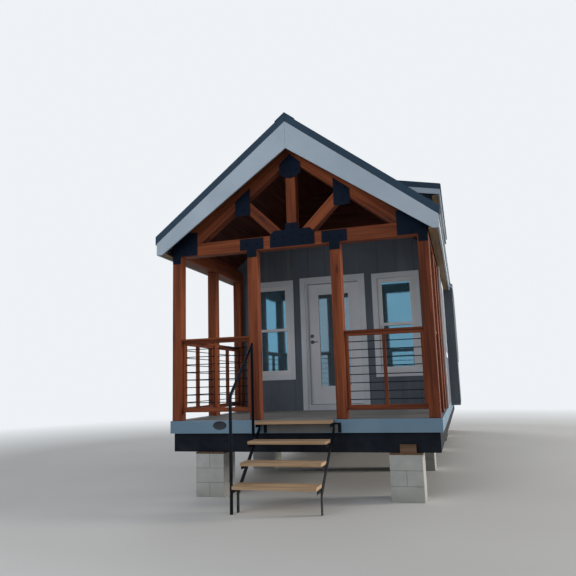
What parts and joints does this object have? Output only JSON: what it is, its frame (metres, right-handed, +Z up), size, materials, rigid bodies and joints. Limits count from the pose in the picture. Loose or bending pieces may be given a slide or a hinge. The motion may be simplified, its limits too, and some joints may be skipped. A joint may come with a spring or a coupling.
{
  "type": "tiny house on wheels",
  "caption": "Park-model tiny house on a wheeled steel chassis: timber truss porch, dormers, side bay, open stair and hinged glazed front door.",
  "frame": {"origin": "middle of the whole object's footprint, at the lowest ground contact under the piers", "axes": "+Z up, +Y from the porch to the rear along the ridge, +X to the right seen from in front of the porch"},
  "size_m": [3.952, 11.559, 5.089],
  "materials": {
    "stained_timber": "satin",
    "white_board": "matte",
    "siding": "matte",
    "roof_metal": "satin",
    "chassis_steel": "satin",
    "rim_paint": "matte",
    "deck_wood": "matte",
    "tread_wood": "matte",
    "concrete_block": "matte",
    "door_paint": "satin",
    "vinyl": "satin",
    "glass": "gloss",
    "hardware": "satin",
    "tyre_rubber": "matte",
    "wheel_paint": "satin",
    "floor_board": "satin",
    "cap_wood": "matte",
    "soffit_wood": "matte",
    "panel_paint": "matte",
    "threshold_metal": "satin"
  },
  "bodies": {
    "house": {"axles": "chassis_steel", "barge_boards": "white_board", "bay_cheeks": "siding", "bay_face": "siding", "block_piers": "concrete_block", "chassis_cross_members": "chassis_steel", "chassis_rails": "chassis_steel", "door_head_and_sill": "white_board", "door_jambs": "white_board", "dormer_and_bay_roofs": "roof_metal", "dormer_cheeks": "siding", "dormer_faces": "siding", "eave_fascias": "white_board", "eave_soffits": "soffit_wood", "end_rims": "rim_paint", "floor_platform": "chassis_steel", "frieze_boards": "stained_timber", "front_beam": "stained_timber", "front_railings": "stained_timber", "front_wall_gable": "siding", "front_wall_sides": "siding", "gable_lining": "stained_timber", "gusset_plates": "chassis_steel", "house_floor": "floor_board", "jamb_fittings": "vinyl", "leaf_springs": "chassis_steel", "main_roof": "roof_metal", "middle_roof": "roof_metal", "pier_caps": "cap_wood", "porch_ceiling": "stained_timber", "porch_deck": "deck_wood", "porch_posts": "stained_timber", "railing_rods": "chassis_steel", "rear_wall": "siding", "ridge_cap": "roof_metal", "right_wall_over_bay": "siding", "rim_badge": "threshold_metal", "side_beams": "stained_timber", "side_railings": "stained_timber", "side_rims": "rim_paint", "side_walls": "siding", "stair_handrail": "chassis_steel", "stair_hanger_panel": "panel_paint", "stair_stringers": "chassis_steel", "stair_treads": "tread_wood", "truss_chords": "stained_timber", "truss_web": "stained_timber", "tyres": "tyre_rubber", "wheel_rims": "wheel_paint", "white_trim": "white_board", "window_frames": "vinyl", "window_glass": "glass"},
    "front_door": {"door_slab": "door_paint", "door_lite_frame": "vinyl", "door_glass": "glass", "door_hardware": "hardware", "door_hinges": "hardware"}
  },
  "joints": [
    {"name": "front_door_hinge", "type": "hinge", "parent": "house", "child": "front_door", "pos_m": [0.4435, -2.1995, 2.107], "axis": [0, 0, -1], "range_deg": [0, 100]}
  ]
}
